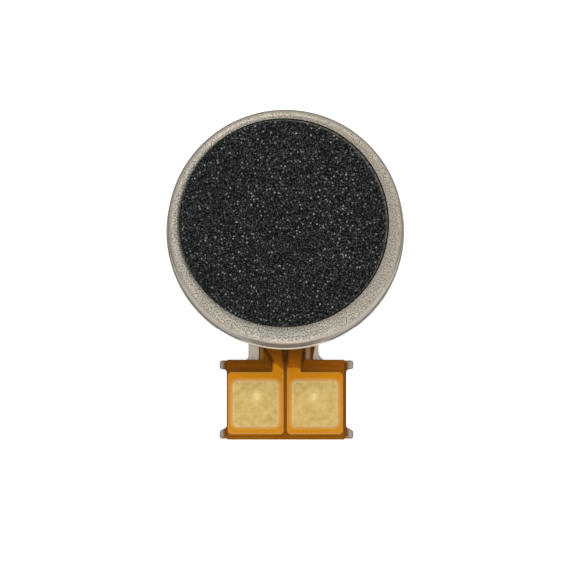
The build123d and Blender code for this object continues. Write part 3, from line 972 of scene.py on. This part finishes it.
def build_contact(side, marks):
    """A gold pad with shallow probe marks, each (x, y, reach, depth, brightness) from the pad's centre."""
    node = f"contact_pad_{side}"
    low, high = span(node)
    centre, _ = plan(node)
    loop = inset(outlines(node)[0], -PAD_OUTSET)
    ring = inset(loop, PAD_EDGE)
    border = inset(loop, EDGE_SHADE)
    grid = lattice(low[:2], high[:2], PAD_GRID)
    fine = lattice(low[:2], high[:2], MARK_GRID)
    by_mark = np.full(len(fine), np.inf)
    for x, y, reach, _, _ in marks:
        by_mark = np.minimum(by_mark, np.hypot(*(fine - centre - (x, y)).T) / reach)
    fine = fine[by_mark < MARK_SPREAD]
    crowded = np.array([np.hypot(*(fine - point).T).min() < PAD_GRID * 0.6 for point in grid])
    grid = np.concatenate((grid[~crowded], fine))
    grid = grid[(depth_in(grid, ring) > PAD_GRID * 0.4) & (np.abs(depth_in(grid, border)) > PAD_GRID * 0.3)]
    points, faces = slab([loop], low[2], high[2], PAD_EDGE, lines=[border], extra=grid)
    on_top = points[:, 2] > (low[2] + high[2]) / 2
    probe_mark_and_glint = np.zeros(len(points))
    for x, y, reach, depth, brightness in marks:
        distance = np.hypot(*(points[:, :2] - centre - (x, y)).T)
        shape = np.exp(-((distance / reach) ** 2))
        points[:, 2] -= np.where(on_top, depth * shape, 0)
        # Each mark's brightness sets its painted highlight and how strongly it changes the gold's relief and
        # gloss
        probe_mark_and_glint = np.maximum(probe_mark_and_glint, brightness * shape)
    made = piece(node + "_plate", points, faces)
    set_values(made, "probe_mark_and_glint", probe_mark_and_glint)
    set_values(made, "from_edge", depth_in(points[:, :2], loop))
    stand_in(made, node)


def cell_field(points, pitch, seed):
    """The distance to the nearest cell centre, and a random number of that cell."""
    random = np.random.default_rng(seed)
    low = np.floor(points.min(0) / pitch) - 2
    size = (np.ceil(points.max(0) / pitch) + 3 - low).astype(int)
    jitter = random.uniform(*CELL_JITTER, (*size, 2))
    marks = random.uniform(0, 1, size)
    cell = np.floor(points / pitch - low).astype(int)
    near = np.full(len(points), np.inf)
    mark = np.zeros(len(points))
    for dx in (-1, 0, 1):
        for dy in (-1, 0, 1):
            other = cell + (dx, dy)
            centre = (other + jitter[other[:, 0], other[:, 1]] + low) * pitch
            distance = np.hypot(*(points - centre).T)
            mark = np.where(distance < near, marks[other[:, 0], other[:, 1]], mark)
            near = np.minimum(distance, near)
    return near, mark


def build_foam():
    """A thin disc of closed cell foam: some cells stand as domes, others are open pits."""
    low, high = span("foam_pad")
    centre, radius = plan("foam_pad")
    flat, faces, rim = disc_grid(radius - FOAM_EDGE, FOAM_GRID)
    rim_angles = np.arange(rim) * 2 * pi / rim
    rows = [(radius - FOAM_EDGE * (1 - sin(a)), high[2] - FOAM_EDGE * (1 - cos(a)))
            for a in (radians(30), radians(60), radians(90))]
    side = np.linspace(high[2] - FOAM_EDGE, low[2] + FOAM_FOOT, FOAM_SIDE_ROWS + 1)[1:]
    rows += [(radius, height) for height in side]
    rows.append((radius - FOAM_FOOT, low[2]))
    points = [np.column_stack((flat, np.full(len(flat), high[2])))]
    count = len(flat)
    above = count - rim
    for reach, height in rows:
        x, y = reach * np.cos(rim_angles), reach * np.sin(rim_angles)
        points.append(np.column_stack((x, y, np.full(rim, height))))
        for i in range(rim):
            j = (i + 1) % rim
            faces.append([above + i, count + i, count + j, above + j])
        above = count
        count += rim
    faces.append([above + i for i in reversed(range(rim))])
    points = np.concatenate(points)
    # Cells are laid out on the surface unrolled, so that they wrap over the edge
    reach = np.hypot(points[:, 0], points[:, 1])
    unrolled = points[:, :2] * (1 + (high[2] - points[:, 2]) / np.maximum(reach, 1e-6))[:, None]
    near, mark = cell_field(unrolled, CELL_PITCH, seed=5)
    near = near / (CELL_SMALLEST + CELL_SPREAD * (mark * 17 % 1))
    hump = 1 - smoothstep(near, 0.0, CELL_REACH)
    size = (mark - PIT_SHARE) / (1 - PIT_SHARE)
    rise = np.where(size > 0, CELL_RISE * (0.35 + 0.65 * size), -PIT_DEPTH) * hump - CELL_RISE
    outward = points[:, :2] / np.maximum(reach, 1e-6)[:, None]
    upward = smoothstep(points[:, 2], high[2] - FOAM_EDGE, high[2])
    movable = points[:, 2] > low[2] + FOAM_FOOT / 2
    points[:, 2] += np.where(movable, rise * upward, 0)
    points[:, :2] += np.where(movable, rise * SIDE_RISE * (1 - upward), 0)[:, None] * outward
    points[:, :2] += centre
    made = piece("foam_pad_cells", points, faces, smooth_all=True, weighted=False)
    set_values(made, "near", near)
    set_values(made, "size", size)
    stand_in(made, "foam_pad")


def build_adhesive():
    """The film under the foam, with lines along its black edge."""
    low, high = span("foam_adhesive")
    loop = outlines("foam_adhesive")[0]
    lines = [inset(loop, gap) for gap in BLACK_EDGE]
    points, faces = slab([loop], low[2], high[2], LAYER_EDGE, lines=lines)
    made = piece("foam_adhesive_film", points, faces)
    set_values(made, "from_edge", depth_in(points[:, :2], loop))
    stand_in(made, "foam_adhesive")


def build_turned(node, profile, centre=(0, 0), closed=True):
    points, faces = lathe(profile, INNER_SEGMENTS, closed)
    stand_in(piece(node + "_turned", points + (*centre, 0), faces, weighted=False), node)


def build_sheet(node, edge, from_below=False):
    """A flat part cut from a CAD node's top or bottom outline, with rounded edges."""
    low, high = span(node)
    stand_in(piece(node + "_flat", *slab(outlines(node, from_below), low[2], high[2], edge)), node)


def build_coil(node):
    """An air core winding: every turn of wire in its outer layers stands as a ridge."""
    low, high = span(node)
    centre, outer = plan(node)
    hole = flat_loops(node, high[2])[-1]
    inner = np.hypot(*(hole - centre).T).mean() - COIL_ROUND
    path = ring_profile(inner + WIRE_RISE, outer - WIRE_RISE, low[2] + WIRE_RISE, high[2] - WIRE_RISE,
                        COIL_ROUND)
    ahead = np.roll(path, -1, 0) - path
    length = np.concatenate(([0], np.cumsum(np.hypot(*ahead.T))))
    turns = round(length[-1] / WIRE_PITCH)
    along = np.linspace(0, length[-1], turns * 6, endpoint=False)
    closed = np.concatenate((path, path[:1]))
    walk = np.column_stack([np.interp(along, length, closed[:, axis]) for axis in (0, 1)])
    heading = np.roll(walk, -1, 0) - np.roll(walk, 1, 0)
    outward = np.column_stack((-heading[:, 1], heading[:, 0])) / np.hypot(*heading.T)[:, None]
    ridge = np.sqrt(np.abs(np.sin(pi * along / length[-1] * turns)))
    build_turned(node, walk + outward * (ridge * WIRE_RISE)[:, None], centre)


def build_inner():
    """The pieces inside the case, which are seen when it's opened or taken apart."""
    low, high = span("shaft")
    build_turned("shaft", rounded([
        (0, high[2], 0),
        (high[0], high[2], 0.05),
        (high[0], low[2], 0.05),
        (0, low[2], 0),
    ]), closed=False)
    bore = high[0] + RUNNING_CLEARANCE
    for node, hole, edge in (("lower_washer", bore, 0.02), ("upper_washer", bore, 0.02),
                             ("magnet_ring", MAGNET_BORE, 0.05)):
        low, high = span(node)
        build_turned(node, ring_profile(hole, high[0], low[2], high[2], edge))
    low, high = span("bearing")
    build_turned("bearing", rounded([
        (0.8 * high[0], high[2], 0),
        (high[0], high[2], 0.05),
        (high[0], BEARING_STEP, 0.03),
        (BEARING_NECK, BEARING_STEP, 0.02),
        (BEARING_NECK, low[2], 0.05),
        (bore, low[2], 0.03),
        (bore, high[2], 0.03),
        (0.8 * high[0], high[2], 0),
    ])[:-1])
    for side in ("left", "right"):
        build_sheet(f"fpc_trace_{side}", COPPER_EDGE)
    build_sheet("rotor_board", 0.012)
    for number in range(1, 7):
        build_sheet(f"commutator_segment_{number}", 0.006, from_below=True)
    build_sheet("eccentric_weight", 0.01, from_below=True)
    build_coil("coil_1")
    build_coil("coil_2")


def dress(node):
    """Puts its slot's material on a CAD node that is shown as it is."""
    for place in frame["nodes"][node].material_slots:
        place.link = "OBJECT"
        place.material = looks[slots[node]]


looks = all_looks()
build_case()
build_bracket()
build_layer("fpc_bond_tape", TAPE_OUTSET)
build_layer("fpc_base_film")
build_coverlay()
build_contact("left", [(0.01, 0.38, 0.11, 0.011, 1.0), (0.06, 0.23, 0.10, 0.011, 1.0),
                       (0.03, 0.31, 0.30, 0.003, 0.60)])
build_contact("right", [(-0.02, 0.36, 0.11, 0.011, 1.0), (-0.05, 0.23, 0.09, 0.010, 1.0),
                        (-0.05, 0.30, 0.30, 0.003, 0.60)])
build_foam()
build_adhesive()
build_inner()
for kept in ("brush_left", "brush_right", "coil_solder",
             "brush_solder_left", "brush_solder_right", "rotor_mould"):
    dress(kept)


# ---------------------------------------------------------------- studio

def build_floor():
    half = FLOOR_SIDE / 2
    corners = [(-half, -half, 0), (half, -half, 0), (half, half, 0), (-half, half, 0)]
    floor = piece("floor", corners, [[0, 1, 2, 3]], smooth_all=True, weighted=False)
    look = Look("floor_white")
    colour = look.ramp(look.noise(30), (0.3, 244, 244, 244), (0.7, 248, 248, 248))
    white = look.finish(colour, None, 0.0, 0.8, Emission_Color=(1, 1, 1, 1), Emission_Strength=FLOOR_GLOW)
    floor.data.materials.append(white)


def set_up(name, data, place, aim):
    """A light or a camera at a place, turned towards its aim."""
    made = bpy.data.objects.new(name, data)
    made.location = Vector(place) * MM
    made.rotation_euler = (Vector(aim) - Vector(place)).to_track_quat("-Z", "Y").to_euler()
    bpy.context.scene.collection.objects.link(made)
    return made


def area_light(name, place, aim, side, power):
    light = bpy.data.lights.new(name, "AREA")
    light.shape = "SQUARE"
    light.size = side * MM
    light.energy = power
    set_up(name, light, place, aim)


def build_camera():
    camera = bpy.data.cameras.new("camera")
    camera.sensor_width = SENSOR_WIDTH
    camera.lens = SENSOR_WIDTH * CAMERA_DISTANCE / VIEW_WIDTH
    camera.clip_start = 0.01
    camera.clip_end = 10
    rise = radians(CAMERA_ELEVATION)
    back = Vector((0, -cos(rise), sin(rise)))
    bpy.context.scene.camera = set_up("camera", camera, Vector(AIM) + back * CAMERA_DISTANCE, AIM)


def build_world():
    """A white tent with a dark opening overhead, where the camera looks in."""
    world = bpy.data.worlds.new("studio")
    nodes = Nodes(world)
    upward = nodes.node("SeparateXYZ", nodes.node("TexCoord").outputs["Generated"]).outputs["Z"]
    strength = nodes.step(upward, OPENING_RIM, OPENING_FULL, TENT_LIGHT, OPENING_LIGHT)
    background = nodes.tree.nodes["Background"]
    nodes.put(background.inputs["Color"], (1, 1, 1, 1))
    nodes.put(background.inputs["Strength"], strength)
    bpy.context.scene.world = world
    bpy.context.scene.view_settings.view_transform = "Standard"


build_floor()
build_world()
area_light("key", (40, -470, 170), (0, -2, 0), 300, 0.34)
area_light("back", (-20, 330, 400), (0, 0, 0), 200, 0.32)
build_camera()

bpy.context.view_layer.update()
